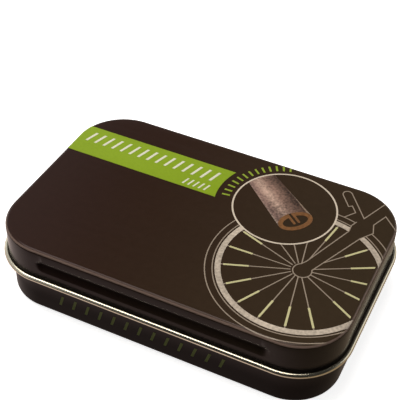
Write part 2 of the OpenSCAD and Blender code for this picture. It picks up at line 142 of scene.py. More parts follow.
class Graph:
    """The nodes of a shader, with short ways to add and join them."""

    def __init__(self, tree: Tree) -> None:
        """Keeps the tree that gets the nodes."""
        self.tree = tree

    def feed(self, node: bpy.types.Node, inputs: dict[str | int, object]) -> None:
        """Joins a node's inputs to outputs, or sets them.

        Args:
            node: The node.
            inputs: An output or a plain value for each input, by name or number.
        """
        for key, value in inputs.items():
            if isinstance(value, Socket):
                self.tree.links.new(value, node.inputs[key])
            else:
                node.inputs[key].default_value = value

    def node(self, kind: str, inputs: dict[str | int, object] | None = None,
             **settings: object) -> bpy.types.Node:
        """Adds a node with its settings and inputs.

        Args:
            kind: The node's type without its ShaderNode prefix.
            inputs: What its inputs are fed.
            **settings: Properties of the node.

        Returns:
            The new node.
        """
        made = self.tree.nodes.new(f"ShaderNode{kind}")
        for key, value in settings.items():
            setattr(made, key, value)
        self.feed(made, inputs or {})
        return made

    def math(self, operation: str, *values: object) -> Socket:
        """Works out a number from outputs or plain numbers."""
        return self.node("Math", dict(enumerate(values)), operation=operation).outputs[0]

    def vector(self, operation: str, *values: object) -> Socket:
        """Works out a vector from outputs or plain vectors, or the number of a length or a product."""
        made = self.node("VectorMath", dict(enumerate(values)), operation=operation)
        return made.outputs["Value" if operation in ("LENGTH", "DOT_PRODUCT") else "Vector"]

    def axis(self, place: Socket, name: str) -> Socket:
        """Takes X, Y or Z out of a place."""
        return self.node("SeparateXYZ", {0: place}).outputs[name]

    def noise(self, place: Socket, scale: object, detail: float) -> Socket:
        """Adds noise at a place, of a scale and a level of detail."""
        return self.node("TexNoise", {"Vector": place, "Scale": scale, "Detail": detail}).outputs["Fac"]

    def remap(self, value: Socket, reach: Span, levels: tuple[object, object] = (0.0, 1.0),
              curve: str = "LINEAR") -> Socket:
        """Turns a value into a level between two levels.

        Args:
            value: The value.
            reach: Where the level starts and stops changing.
            levels: The two levels, as outputs or plain numbers.
            curve: How it changes between them.

        Returns:
            The level.
        """
        limits = dict(zip(("From Min", "From Max", "To Min", "To Max"), (*reach, *levels)))
        return self.node("MapRange", {"Value": value, **limits}, interpolation_type=curve).outputs[0]

    def step(self, value: Socket, reach: Span, levels: Span = (0.0, 1.0)) -> Socket:
        """Adds a soft step from one level to another."""
        return self.remap(value, reach, levels, "SMOOTHSTEP")

    def blend(self, share: Socket, low: object, high: object) -> Socket:
        """Mixes two colours, by the share of the second one."""
        made = self.node("Mix", {"Factor": share, "A": low, "B": high}, data_type="RGBA")
        return made.outputs["Result"]

    def either(self, share: Socket, low: Socket, high: Socket) -> Socket:
        """Mixes two shaders, by the share of the second one."""
        return self.node("MixShader", {0: share, 1: low, 2: high}).outputs[0]

    def effect(self, group: Tree, **inputs: object) -> Socket:
        """Places a shared group with its inputs, and gives its output."""
        return self.node("Group", inputs, node_tree=group).outputs[0]


class EffectGroup(Graph):
    """A shader node group with named sockets, built once and shared by materials."""

    def __init__(self, name: str, result: tuple[str, str], **inputs: str) -> None:
        """Starts an empty group.

        Args:
            name: The group's name.
            result: Its output's name and kind.
            **inputs: The kind of each input, which is Float, Color or Vector.
        """
        super().__init__(bpy.data.node_groups.new(name, "ShaderNodeTree"))
        self.start = self.tree.nodes.new("NodeGroupInput")
        self.end = self.tree.nodes.new("NodeGroupOutput")
        sockets = [("INPUT", label, kind) for label, kind in inputs.items()]
        for way, label, kind in (*sockets, ("OUTPUT", *result)):
            self.tree.interface.new_socket(name=label, in_out=way, socket_type=f"NodeSocket{kind}")

    def close(self, result: Socket) -> Tree:
        """Joins the result to the group's output and gives the group's tree."""
        self.feed(self.end, {0: result})
        return self.tree


class Effects:
    """The surface effects that several finishes share."""

    def __init__(self) -> None:
        """Builds each group once."""
        self.mottle = self._mottle()
        self.scuff = self._scuff()
        self.ripple = self._ripple()

    def _mottle(self) -> Tree:
        """Uneven lacquer: two scales of noise that lighten and darken a colour.

        Returns:
            A group that takes Vector, Color, Scale and Amount and gives Color.
        """
        group = EffectGroup(
            "mottle", ("Color", "Color"), Vector="Vector", Color="Color", Scale="Float", Amount="Float"
        )
        start = group.start.outputs
        wide = group.noise(start["Vector"], start["Scale"], detail=3.0)
        finer = group.math("MULTIPLY", start["Scale"], MOTTLE_FINER)
        fine = group.noise(start["Vector"], finer, detail=2.0)
        levels = (group.math(way, 1.0, start["Amount"]) for way in ("SUBTRACT", "ADD"))
        level = group.remap(group.math("ADD", wide, fine), MOTTLE_SPREAD, tuple(levels))
        scaled = group.node("VectorMath", {0: start["Color"], "Scale": level}, operation="SCALE")
        return group.close(scaled.outputs[0])

    def _scuff(self) -> Tree:
        """Fine handling marks: thin stretched noise that changes the gloss.

        Returns:
            A group that takes Vector, Low and High and gives Roughness.
        """
        group = EffectGroup("scuff", ("Roughness", "Float"), Vector="Vector", Low="Float", High="Float")
        start = group.start.outputs
        turned = group.node("Mapping", {
            "Vector": start["Vector"],
            "Rotation": (0.0, 0.0, math.radians(SCUFF_TURN)),
            "Scale": SCUFF_STRETCH,
        })
        marks = group.noise(turned.outputs[0], SCUFF_SCALE, detail=5.0)
        return group.close(group.remap(marks, SCUFF_SPREAD, (start["Low"], start["High"])))

    def _ripple(self) -> Tree:
        """The slight unevenness of sprayed lacquer or rolled sheet, as a height.

        Returns:
            A group that takes Vector, Scale and Stretch and gives Height.
        """
        group = EffectGroup(
            "ripple", ("Height", "Float"), Vector="Vector", Scale="Float", Stretch="Float"
        )
        start = group.start.outputs
        along = group.node("CombineXYZ", {"X": start["Stretch"], "Y": 1.0, "Z": 1.0})
        shaped = group.vector("MULTIPLY", start["Vector"], along.outputs[0])
        return group.close(group.noise(shaped, start["Scale"], detail=1.0))


@dataclass(frozen=True)
class Finish:
    """A surface finish with a Principled shader.

    Attributes:
        name: The material's name.
        colour: The colour on screen.
        metal: 1 for bare metal.
        gloss: Lowest and highest roughness.
        specular: The strength of the plain reflection.
        mottle: How far the colour varies.
        mottle_scale: How fine that variation is.
        ripple: The depth of the surface's unevenness.
        ripple_scale: How fine it is.
        stretch: Below 1, the unevenness runs along the tin's length.
        tint: The colour of the plain reflection, seen straight on.
        drift_and_sheen: The colour that the finish reaches at the tin's right end, if it changes;
            partly a hue change, partly a painted sheen.
        crevice_shade: Heights between which the painted shade over the bead fades out, if there is any.
        wear_and_highlight: Heights at which the paler band on the bend starts, is full, fades and ends;
            it is partly lacquer wear, partly a painted highlight.
    """

    name: str
    colour: Colour = (0.5, 0.5, 0.5)
    metal: float = 0.0
    gloss: Span = (0.25, 0.4)
    specular: float = 0.5
    mottle: float = 0.06
    mottle_scale: float = 60.0
    ripple: float = 0.000004
    ripple_scale: float = 900.0
    stretch: float = 1.0
    tint: Colour = (1.0, 1.0, 1.0)
    drift_and_sheen: Colour | None = None
    crevice_shade: Span | None = None
    wear_and_highlight: tuple[float, float, float, float] | None = None

    def material(self, effects: Effects) -> bpy.types.Material:
        """Builds the finish as a node material.

        Args:
            effects: The shared groups.

        Returns:
            The material.
        """
        made = bpy.data.materials.new(self.name)
        made.use_nodes = True
        graph = Graph(made.node_tree)
        place = graph.node("TexCoord").outputs["Object"]
        low, high = self.gloss
        colour = graph.effect(
            effects.mottle, Vector=place, Color=self.tone(graph, place),
            Scale=self.mottle_scale, Amount=self.mottle,
        )
        rough = graph.effect(effects.scuff, Vector=place, Low=low, High=high)
        height = graph.effect(
            effects.ripple, Vector=place, Scale=self.ripple_scale, Stretch=self.stretch
        )
        bump = graph.node("Bump", {"Height": height, "Distance": self.ripple})
        # Painted shade: the wall just over the bead is darkened and its gloss dulled.
        if self.crevice_shade:
            colour, rough = self._crevice_shaded(graph, place, colour, rough)
        graph.feed(made.node_tree.nodes["Principled BSDF"], {
            "Base Color": colour,
            "Roughness": rough,
            "Normal": bump.outputs["Normal"],
            "Metallic": self.metal,
            "Specular IOR Level": self.specular,
            "Specular Tint": linear(self.tint),
        })
        return made

    def tone(self, graph: Graph, place: Socket) -> object:
        """Works out the colour before it is mottled.

        Args:
            graph: The material's nodes.
            place: The place on the piece.

        Returns:
            A plain linear colour, or the output of a colour that changes over the piece.
        """
        colour: object = linear(self.colour)
        # Paler and more olive towards the right end: partly a hue change, partly a painted sheen where
        # light falls from the right.
        if self.drift_and_sheen:
            share = graph.step(graph.axis(place, "X"), (-DRIFT_AND_SHEEN_REACH, DRIFT_AND_SHEEN_REACH))
            colour = graph.blend(share, colour, linear(self.drift_and_sheen))
        # A paler band high on the bend: partly lacquer wear, partly a painted highlight of the edge.
        if self.wear_and_highlight:
            height = graph.axis(place, "Z")
            rise = graph.step(height, self.wear_and_highlight[:2], (0.0, WEAR_AND_HIGHLIGHT_SHARE))
            fall = graph.step(height, self.wear_and_highlight[2:], (1.0, 0.0))
            colour = graph.blend(graph.math("MULTIPLY", rise, fall), colour, linear(WEAR_AND_HIGHLIGHT))
        return colour

    def _crevice_shaded(self, graph: Graph, place: Socket, colour: Socket,
                rough: Socket) -> tuple[Socket, Socket]:
        """Paints shade on the wall where it meets the bead, darkening its colour and dulling its gloss.

        Args:
            graph: The material's nodes.
            place: The place on the piece.
            colour: The colour without the painted shade.
            rough: The roughness without the painted shade.

        Returns:
            The colour and the roughness with the painted shade.
        """
        unshaded = graph.step(graph.axis(place, "Z"), self.crevice_shade)
        dull = graph.node("Mix", {"Factor": unshaded, "A": CREVICE_SHADE_ROUGH, "B": rough})
        return graph.blend(unshaded, linear(CREVICE_SHADE), colour), dull.outputs["Result"]


@dataclass(frozen=True)
class PicturedTube(Finish):
    """Ink of the pictured tube, shaded across its width as if it were round.

    Attributes:
        middle: A place on the tube's middle line, on the lid.
        slope: The tube's slope below level, in degrees.
        half_w: Half the tube's width.
        shades: Colours from the lower edge to the upper edge, each with its share of the width.
    """

    middle: Span = (17.7 * MM, 13.6 * MM)
    slope: float = 39.0
    half_w: float = 4.95 * MM
    shades: tuple[tuple[float, Colour], ...] = (
        (0.0, (0.72, 0.65, 0.59)), (0.05, (0.52, 0.43, 0.39)), (0.14, (0.44, 0.35, 0.32)),
        (0.36, (0.63, 0.53, 0.475)), (0.58, (0.485, 0.385, 0.34)), (0.84, (0.33, 0.25, 0.21)),
        (0.93, (0.31, 0.23, 0.19)), (0.955, (0.59, 0.51, 0.44)), (1.0, (0.55, 0.48, 0.41)),
    )

    def tone(self, graph: Graph, place: Socket) -> Socket:
        """Takes the colour from the place across the tube.

        Args:
            graph: The material's nodes.
            place: The place on the piece.

        Returns:
            The colour.
        """
        angle = math.radians(self.slope)
        across = Vector((math.sin(angle), math.cos(angle), 0))
        middle = across.dot(Vector((*self.middle, 0)))
        reach = (middle - self.half_w, middle + self.half_w)
        share = graph.remap(graph.vector("DOT_PRODUCT", place, across), reach)
        ramp = graph.node("ValToRGB", {"Fac": share})
        stops = ramp.color_ramp.elements
        first, *inner, last = self.shades
        for stop, (position, shade) in zip(stops, (first, last)):
            stop.position, stop.color = position, linear(shade)
        for position, shade in inner:
            stops.new(position).color = linear(shade)
        return ramp.outputs["Color"]


@dataclass(frozen=True)
class Palette:
    """Every finish of the tin, its print and the tubes.

    Attributes:
        lid: The lid's lacquer.
        base: The base's lacquer.
        tinplate: The bare inside of both.
        tube: The tubes' film.
        coarse_grain: How far the uneven inks vary.
        picture_grain: How far the pictured tube's ink varies.
        picture_scale: How fine that variation is.
    """

    lid: Finish = Finish(
        "lid_lacquer", (0.172, 0.108, 0.086), specular=0.19, gloss=(0.12, 0.18), ripple=0.0000015,
        # The lid turns paler towards its right end: partly a hue change, partly a painted sheen.
        mottle_scale=25.0, tint=LACQUER_TINT, drift_and_sheen=(0.217, 0.176, 0.130),
        # Painted shade over the bead; a paler band on the bend, partly lacquer wear, partly a painted
        # highlight.
        crevice_shade=(13.4 * MM, 14.6 * MM), wear_and_highlight=(21.15 * MM, 21.4 * MM, 21.6 * MM, 21.82 * MM),
    )
    base: Finish = Finish(
        "base_lacquer", (0.178, 0.132, 0.108), specular=0.16, gloss=(0.16, 0.22), ripple=0.0000015,
        mottle_scale=25.0, tint=LACQUER_TINT,
    )
    tinplate: Finish = Finish(
        "bare_tinplate", (0.91, 0.88, 0.79), metal=1.0, gloss=(0.2, 0.28), mottle=0.05,
        ripple=0.000001, ripple_scale=1500.0, stretch=0.08,
    )
    tube: Finish = Finish(
        "tube_film", (0.74, 0.735, 0.73), metal=0.55, gloss=(0.24, 0.4), mottle=0.22,
        mottle_scale=110.0, ripple=0.00001, ripple_scale=2600.0,
    )
    coarse_grain: float = 0.35
    picture_grain: float = 0.75
    picture_scale: float = 75.0

    def ink(self, node: str) -> Finish:
        """Gives the ink of a printed colour field.

        Args:
            node: The field's node.

        Returns:
            The finish.
        """
        name = node.replace("print_", "ink_")
        if node not in INKS:
            return PicturedTube(
                name, gloss=INK_GLOSS, specular=INK_SPECULAR,
                mottle=self.picture_grain, mottle_scale=self.picture_scale,
            )
        grain = self.coarse_grain if node in GRAINY else Finish.mottle
        return Finish(name, INKS[node], gloss=INK_GLOSS, specular=INK_SPECULAR, mottle=grain)


class Modeller:
    """Small steps of modelling by hand with Blender's operators."""

    @staticmethod
    def deselect() -> None:
        """Leaves edit mode and selects nothing."""
        if bpy.context.object and bpy.context.object.mode != "OBJECT":
            bpy.ops.object.mode_set(mode="OBJECT")
        bpy.ops.object.select_all(action="DESELECT")

    @classmethod
    def select(cls, active: Piece, *others: Piece) -> None:
        """Selects only these pieces.

        Args:
            active: The one that becomes active.
            *others: The others.
        """
        cls.deselect()
        for piece in (active, *others):
            piece.select_set(True)
        bpy.context.view_layer.objects.active = active

    @staticmethod
    def extrude(move: Vector | tuple[float, float, float]) -> None:
        """Extrudes what is selected, by a move."""
        bpy.ops.mesh.extrude_region_move(TRANSFORM_OT_translate={"value": move})

    @staticmethod
    def close() -> None:
        """Turns every face outwards and leaves edit mode."""
        bpy.ops.mesh.select_all(action="SELECT")
        bpy.ops.mesh.normals_make_consistent(inside=False)
        bpy.ops.object.mode_set(mode="OBJECT")

    @classmethod
    def polyline(cls, name: str, points: list[Vector]) -> Piece:
        """Draws an open line of edges, and leaves edit mode on with all of it selected.

        Args:
            name: The new object's name.
            points: The line's points.

        Returns:
            The object that holds the line.
        """
        cls.deselect()
        bpy.ops.mesh.primitive_plane_add(size=MM)
        made = bpy.context.object
        made.name = made.data.name = name
        bpy.ops.object.mode_set(mode="EDIT")
        bpy.ops.mesh.select_mode(type="VERT")
        bpy.ops.mesh.select_all(action="SELECT")
        bpy.ops.mesh.merge(type="CENTER")
        bpy.ops.transform.translate(value=points[0])
        for last, point in zip(points, points[1:]):
            cls.extrude(point - last)
        bpy.ops.mesh.select_all(action="SELECT")
        return made

    @staticmethod
    def apply_modifier(piece: Piece, kind: str, **settings: object) -> None:
        """Adds a modifier, sets it and applies it.

        Args:
            piece: The object that gets it.
            kind: The modifier's type.
            **settings: Its properties.
        """
        Modeller.select(piece)
        made = piece.modifiers.new(kind.lower(), kind)
        for key, value in settings.items():
            setattr(made, key, value)
        bpy.ops.object.modifier_apply(modifier=made.name)

    @staticmethod
    def arc(centre: Span, radius: float, start: float, end: float, steps: int) -> Line:
        """Gives points round an arc, both ends included.

        Args:
            centre: The arc's centre.
            radius: Its radius.
            start: The first point's angle, in degrees.
            end: The last point's angle, in degrees.
            steps: The number of stretches between the points.

        Returns:
            The points in order.
        """
        angles = (math.radians(start + (end - start) * i / steps) for i in range(steps + 1))
        return [(centre[0] + radius * math.cos(a), centre[1] + radius * math.sin(a)) for a in angles]


@dataclass
class TinSizes:
    """The tin's sizes, the same as the solids' own.

    Attributes:
        length: Over the lid's side walls.
        width: Over the lid's front and back walls.
        height: Of the closed tin.
        corner: The radius of the lid's corners, seen from above.
        sheet: The thickness of the sheet.
        bead_r: The outer radius of the lid's rolled edge.
        lid_depth: From the top down to the bead's centre.
        corner_steps: Stretches round a corner.
    """

    length: float = 95 * MM
    width: float = 61 * MM
    height: float = 21.9 * MM
    corner: float = 14 * MM
    sheet: float = 0.25 * MM
    bead_r: float = 0.75 * MM
    lid_depth: float = 9.75 * MM
    corner_steps: int = 28

    @property
    def corner_x(self) -> float:
        """Distance of the corner centres from the middle, along X."""
        return self.length / 2 - self.corner

    @property
    def corner_y(self) -> float:
        """Distance of the corner centres from the middle, along Y."""
        return self.width / 2 - self.corner

    @property
    def bead_z(self) -> float:
        """Height of the bead's centre."""
        return self.height - self.lid_depth

    @property
    def axis_y(self) -> float:
        """The hinge axis, at the centre of the bead at the back."""
        return self.width / 2 + self.bead_r - self.sheet


@dataclass
class HingeSizes:
    """Sizes of the two tabs that the base curls round the lid's bead.

    Attributes:
        tab_w: A tab's width.
        tab_inset: From a corner's centre to the middle of the tab beside it.
        pin_gap: The running gap between the bead and the tab.
        bend_r: The inner radius of the bend from the wall into the tab.
        turn: How far the tab goes round the bead, in degrees.
        side_gap: The room at each side of a tab.
        slot_clear: The room over a tab in the lid's slot.
        slot_foot: The slot's lower edge above the bead's centre.
    """

    tab_w: float = 10 * MM
    tab_inset: float = 8.5 * MM
    pin_gap: float = 0.1 * MM
    bend_r: float = 0.3 * MM
    turn: float = 220.0
    side_gap: float = 0.5 * MM
    slot_clear: float = 0.5 * MM
    slot_foot: float = 0.3 * MM


@dataclass
class Shell:
    """A half of the tin: a section carried round the rounded rectangle.

    Attributes:
        sizes: The tin's sizes.
        hinge: The hinge's sizes.
        edge_r: The radius of the bend round its flat.
        margin: How far the section starts before the bend.
        bend_steps: Stretches round the bend.
    """

    sizes: TinSizes
    hinge: HingeSizes
    edge_r: float = 1.0 * MM
    margin: float = 0.4 * MM
    bend_steps: int = 10

    def sweep(self, name: str, section: Line, columns: int) -> Piece:
        """Spins the section round each corner and extrudes it along each side.

        Args:
            name: The new object's name.
            section: Points of distance out from a corner centre and height.
            columns: The number of steps along the front.

        Returns:
            The open surface, with its flat middle filled.
        """
        s = self.sizes
        start = [Vector((s.corner_x + d, s.corner_y, z)) for d, z in section]
        made = Modeller.polyline(name, start)
        runs = [
            ((s.corner_x, s.corner_y), (-2 * s.corner_x, 0), 1),
            ((-s.corner_x, s.corner_y), (0, -2 * s.corner_y), 1),
            ((-s.corner_x, -s.corner_y), (2 * s.corner_x, 0), columns),
            ((s.corner_x, -s.corner_y), (0, 2 * s.corner_y), 1),
        ]
        for centre, run, steps in runs:
            bpy.ops.mesh.spin(
                steps=s.corner_steps, angle=math.pi / 2, center=(*centre, 0), axis=(0, 0, -1)
            )
            for _ in range(steps):
                Modeller.extrude((run[0] / steps, run[1] / steps, 0))
        bpy.ops.mesh.select_all(action="SELECT")
        bpy.ops.mesh.remove_doubles(threshold=NEAR)
        bpy.ops.mesh.select_all(action="DESELECT")
        bpy.ops.mesh.select_mode(type="EDGE")
        reach, flat_z = section[0]
        self._select_inner_loop(made, flat_z, reach)
        bpy.ops.mesh.edge_face_add()
        Modeller.close()
        return made

    def _select_inner_loop(self, piece: Piece, z: float, reach: float) -> None:
        """Selects the open edges round the flat middle.

        Args:
            piece: The object in edit mode.
            z: The flat's height.
            reach: The flat's distance out from the corner centres.
        """
        s = self.sizes
        shape = bmesh.from_edit_mesh(piece.data)
        limit = max(s.corner_x, s.corner_y) + reach + HAIR
        for edge in shape.edges:
            level = all(abs(v.co.z - z) < NEAR for v in edge.verts)
            near = all(abs(v.co.x) < limit for v in edge.verts)
            edge.select = edge.is_boundary and level and near
        shape.select_flush_mode()
        bmesh.update_edit_mesh(piece.data)

    def thicken(self, piece: Piece, coats: Coats) -> None:
        """Gives the surface the sheet's thickness, inwards, with a finish on each face.

        Args:
            piece: The open surface, its faces pointing out.
            coats: The finishes of its outside and inside.
        """
        for coat in coats:
            piece.data.materials.append(coat)
        Modeller.apply_modifier(
            piece, "SOLIDIFY", thickness=self.sizes.sheet, offset=-1.0,
            use_even_offset=True, material_offset=Side.INSIDE.value,
        )

    def cut(self, piece: Piece, low: Vector, high: Vector) -> None:
        """Cuts a box out of a piece.

        Args:
            piece: The piece.
            low: The box's lowest corner.
            high: The box's highest corner.
        """
        Modeller.deselect()
        bpy.ops.mesh.primitive_cube_add(size=1, location=(low + high) / 2)
        cutter = bpy.context.object
        cutter.scale = high - low
        bpy.ops.object.transform_apply(location=True, rotation=True, scale=True)
        Modeller.apply_modifier(piece, "BOOLEAN", object=cutter, operation="DIFFERENCE", solver="EXACT")
        bpy.data.objects.remove(cutter)

    def open_for_tabs(self, piece: Piece, across: Span, heights: Span) -> None:
        """Cuts an opening for each hinge tab.

        Args:
            piece: The piece.
            across: Where the openings start and end along Y.
            heights: Where they start and end along Z.
        """
        tab_x = self.sizes.corner_x - self.hinge.tab_inset
        half = self.hinge.tab_w / 2 + self.hinge.side_gap
        for side in (-1, 1):
            low, high = (
                Vector((side * tab_x + way * half, y, z))
                for way, y, z in zip((-1, 1), across, heights)
            )
            self.cut(piece, low, high)


@dataclass
class Lid(Shell):
    """The lid: a drawn sheet with a rolled bead and a pressed snap groove.

    Attributes:
        bead_turn: How far the edge is rolled, in degrees.
        groove_depth: How deep the groove is.
        groove_half: Half its height, and the radius of its ends.
        groove_round: How round its floor is, as a share of its half height.
        groove_lean: How far its floor lies above its middle, as a share of its half height.
        groove_drop: From the top down to its middle.
        groove_inset: From a corner's centre to the centre of the end beside it.
        columns: Stretches along the front.
        wall_rows: Stretches down the part of the wall that holds the groove.
        curl_steps: Stretches round the bead.
    """

    bead_turn: float = 308.0
    groove_depth: float = 0.48 * MM
    groove_half: float = 1.85 * MM
    groove_round: float = 0.1
    groove_lean: float = 0.6
    groove_drop: float = 4.9 * MM
    groove_inset: float = 3.2 * MM
    columns: int = 150
    wall_rows: int = 26
    curl_steps: int = 26

    def section(self) -> Line:
        """Draws the outer face's line.

        Returns:
            Its points, from the flat top round the bend to the bead's end.
        """
        s = self.sizes
        centre = (s.corner - self.edge_r, s.height - self.edge_r)
        bend = Modeller.arc(centre, self.edge_r, 90, 0, self.bend_steps)
        top = s.height - self.groove_drop + self.groove_half
        foot = s.height - self.groove_drop - self.groove_half
        rows = self.wall_rows
        wall = [(s.corner, top + (foot - top) * i / rows) for i in range(rows + 1)]
        inner = s.bead_r - s.sheet
        centre = (s.corner + inner, s.bead_z)
        curl = Modeller.arc(centre, inner, 180, 180 + self.bead_turn, self.curl_steps)
        return [(s.corner - self.edge_r - self.margin, s.height), *bend, *wall, *curl]

    def groove(self, x: float, z: float) -> float:
        """Gives how far the front wall is pressed in at a place.

        Args:
            x: The place along the front.
            z: Its height.

        Returns:
            The depth in metres.
        """
        s = self.sizes
        end = s.corner_x - self.groove_inset
        past = max(0.0, abs(x) - end)
        above = z - (s.height - self.groove_drop)
        if math.hypot(past, above) >= self.groove_half:
            return 0.0
        reach = math.sqrt(self.groove_half**2 - past**2)
        lean = self.groove_lean * reach
        side = reach - lean if above > lean else reach + lean
        share = 1 - (past / self.groove_half) ** 2
        away = 1 - share * max(0.0, 1 - abs(above - lean) / max(side, NEAR))
        slant = math.hypot(away, self.groove_round) - self.groove_round
        full = math.hypot(1, self.groove_round) - self.groove_round
        return self.groove_depth * (1 - slant / full)

    def build(self, coats: Coats) -> Piece:
        """Builds the lid's sheet.

        Args:
            coats: The finishes of its outside and inside.

        Returns:
            The finished mesh.
        """
        s, h = self.sizes, self.hinge
        piece = self.sweep("lid_sheet", self.section(), self.columns)
        for vertex in piece.data.vertices:
            front = abs(vertex.co.y + s.width / 2) < NEAR
            if front and vertex.co.z > s.bead_z:
                vertex.co.y += self.groove(vertex.co.x, vertex.co.z)
        self.thicken(piece, coats)
        wall = (s.width / 2 - 2 * s.sheet, s.width / 2 + HAIR)
        top = s.bead_z + s.bead_r + h.pin_gap + s.sheet + h.slot_clear
        self.open_for_tabs(piece, wall, (s.bead_z + h.slot_foot, top))
        return piece


@dataclass
class Base(Shell):
    """The base: a drawn sheet with an inward roll at its rim and two hinge tabs.

    Attributes:
        inset: How far the base's wall stands inside the lid's.
        head_gap: From the lid's inner face down to the rim.
        rim_r: The radius of the rim's roll.
        rim_turn: How far the rim is rolled, in degrees.
        roll_steps: Stretches round the rim's roll.
        root_steps: Stretches round the bend into a tab.
        curl_steps: Stretches of a tab round the bead.
    """

    edge_r: float = 1.3 * MM
    inset: float = 0.85 * MM
    head_gap: float = 3.45 * MM
    rim_r: float = 0.5 * MM
    rim_turn: float = 290.0
    roll_steps: int = 20
    root_steps: int = 8
    curl_steps: int = 36

    @property
    def wall(self) -> float:
        """Distance of the outer wall from the corner centres."""
        return self.sizes.corner - self.inset

    @property
    def top(self) -> float:
        """Height of the rim."""
        return self.sizes.height - self.sizes.sheet - self.head_gap

    def section(self) -> Line:
        """Draws the outer face's line.

        Returns:
            Its points, from the flat underside up to the roll's end.
        """
        centre = (self.wall - self.edge_r, self.edge_r)
        bend = Modeller.arc(centre, self.edge_r, 270, 360, self.bend_steps)
        centre = (self.wall - self.rim_r, self.top - self.rim_r)
        roll = Modeller.arc(centre, self.rim_r, 0, self.rim_turn, self.roll_steps)
        return [(self.wall - self.edge_r - self.margin, 0.0), *bend, *roll]

    def tab(self, side: int, coats: Coats) -> Piece:
        """Bends one hinge tab out of the back wall and round the bead.

        Args:
            side: -1 for the left tab and 1 for the right.
            coats: The finishes of its outside and inside.

        Returns:
            The tab's mesh.
        """
        s, h = self.sizes, self.hinge
        wall_y = s.width / 2 - self.inset
        curl = s.bead_r + h.pin_gap
        root = s.bead_z + curl - h.bend_r
        outer = h.bend_r + s.sheet
        line = Modeller.arc((wall_y + h.bend_r, root), outer, 180, 90, self.root_steps)
        centre = (s.axis_y, s.bead_z)
        line += Modeller.arc(centre, curl + s.sheet, 90, 90 - h.turn, self.curl_steps)
        x = side * (s.corner_x - h.tab_inset) - h.tab_w / 2
        piece = Modeller.polyline("hinge_tab", [Vector((x, y, z)) for y, z in line])
        Modeller.extrude((h.tab_w, 0, 0))
        bpy.ops.object.mode_set(mode="OBJECT")
        highest = max(piece.data.polygons, key=lambda face: face.center.z)
        if highest.normal.z < 0:
            piece.data.flip_normals()
        self.thicken(piece, coats)
        return piece

    def build(self, coats: Coats) -> Piece:
        """Builds the base's sheet with its tabs.

        Args:
            coats: The finishes of its outside and inside.

        Returns:
            The finished mesh.
        """
        s, h = self.sizes, self.hinge
        piece = self.sweep("base_sheet", self.section(), columns=1)
        self.thicken(piece, coats)
        wall_y = s.width / 2 - self.inset
        wall = (wall_y - 2 * self.rim_r - s.sheet, wall_y + s.sheet)
        root = s.bead_z + s.bead_r + h.pin_gap - h.bend_r
        self.open_for_tabs(piece, wall, (root, self.top + MM))
        tabs = [self.tab(side, coats) for side in (-1, 1)]
        Modeller.select(piece, *tabs)
        bpy.ops.object.join()
        return piece


@dataclass
class SlitTube:
    """A slit plastic tube with two lips that grip a spoke.

    Attributes:
        length: Its length.
        diameter: Its outer diameter.
        wall: The wall's thickness.
        slit: The slit's width.
        lip: A lip's thickness.
        lip_reach: How far a lip reaches in from the wall.
        first_turn: The first tube's turn about its own axis, in degrees.
        turn_step: How much further each next tube is turned.
        tip_steps: Stretches round a lip's tip.
        out_steps: Stretches round the outside.
        in_steps: Stretches round the inside.
    """

    length: float = 75 * MM
    diameter: float = 4.3 * MM
    wall: float = 0.45 * MM
    slit: float = 0.9 * MM
    lip: float = 0.35 * MM
    lip_reach: float = 1.2 * MM
    first_turn: float = 90.0
    turn_step: float = 77.0
    tip_steps: int = 6
    out_steps: int = 44
    in_steps: int = 36

    def outline(self) -> Line:
        """Draws the section, with the slit on its right.

        Returns:
            The points of its closed outline.
        """
        radius = self.diameter / 2
        inner = radius - self.wall
        half, full = self.slit / 2, self.slit / 2 + self.lip
        out_angle = math.degrees(math.asin(half / radius))
        in_angle = math.degrees(math.asin(full / inner))
        tip = inner - self.lip_reach + self.lip / 2
        upper = Modeller.arc((tip, half + self.lip / 2), self.lip / 2, 90, 270, self.tip_steps)
        lower = [(x, -y) for x, y in reversed(upper)]
        outside = Modeller.arc((0, 0), radius, out_angle, 360 - out_angle, self.out_steps)
        inside = Modeller.arc((0, 0), inner, 360 - in_angle, in_angle, self.in_steps)
        return [*outside, *lower, *inside, *upper]

    def build(self, number: int, node: str) -> Piece:
        """Builds one tube where its solid lies.

        Args:
            number: The tube's number from 0, which sets how its slit faces.
            node: The solid's node.

        Returns:
            The finished mesh.
        """
        low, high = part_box(node)
        middle = (low + high) / 2
        turn = math.radians(self.first_turn + number * self.turn_step)
        spin = Matrix.Rotation(turn, 3, "X")
        points = [spin @ Vector((0, y, z)) for y, z in self.outline()]
        centre = Vector((low.x, middle.y, low.z + self.diameter / 2))
        piece = Modeller.polyline(f"tube_{number + 1:02d}", [centre + p for p in points])
        bpy.ops.mesh.edge_face_add()
        Modeller.extrude((self.length, 0, 0))
        Modeller.close()
        return piece


@dataclass(frozen=True)
class Lamp:
    """A soft rectangular lamp that points at the tin.

    Attributes:
        name: Its name.
        place: Where it hangs.
        size: Its two sides, across and up.
        watts: Its power.
        mirrored: Whether gloss shows it.
    """

    name: str
    place: tuple[float, float, float]
    size: Span
    watts: float
    mirrored: bool = True


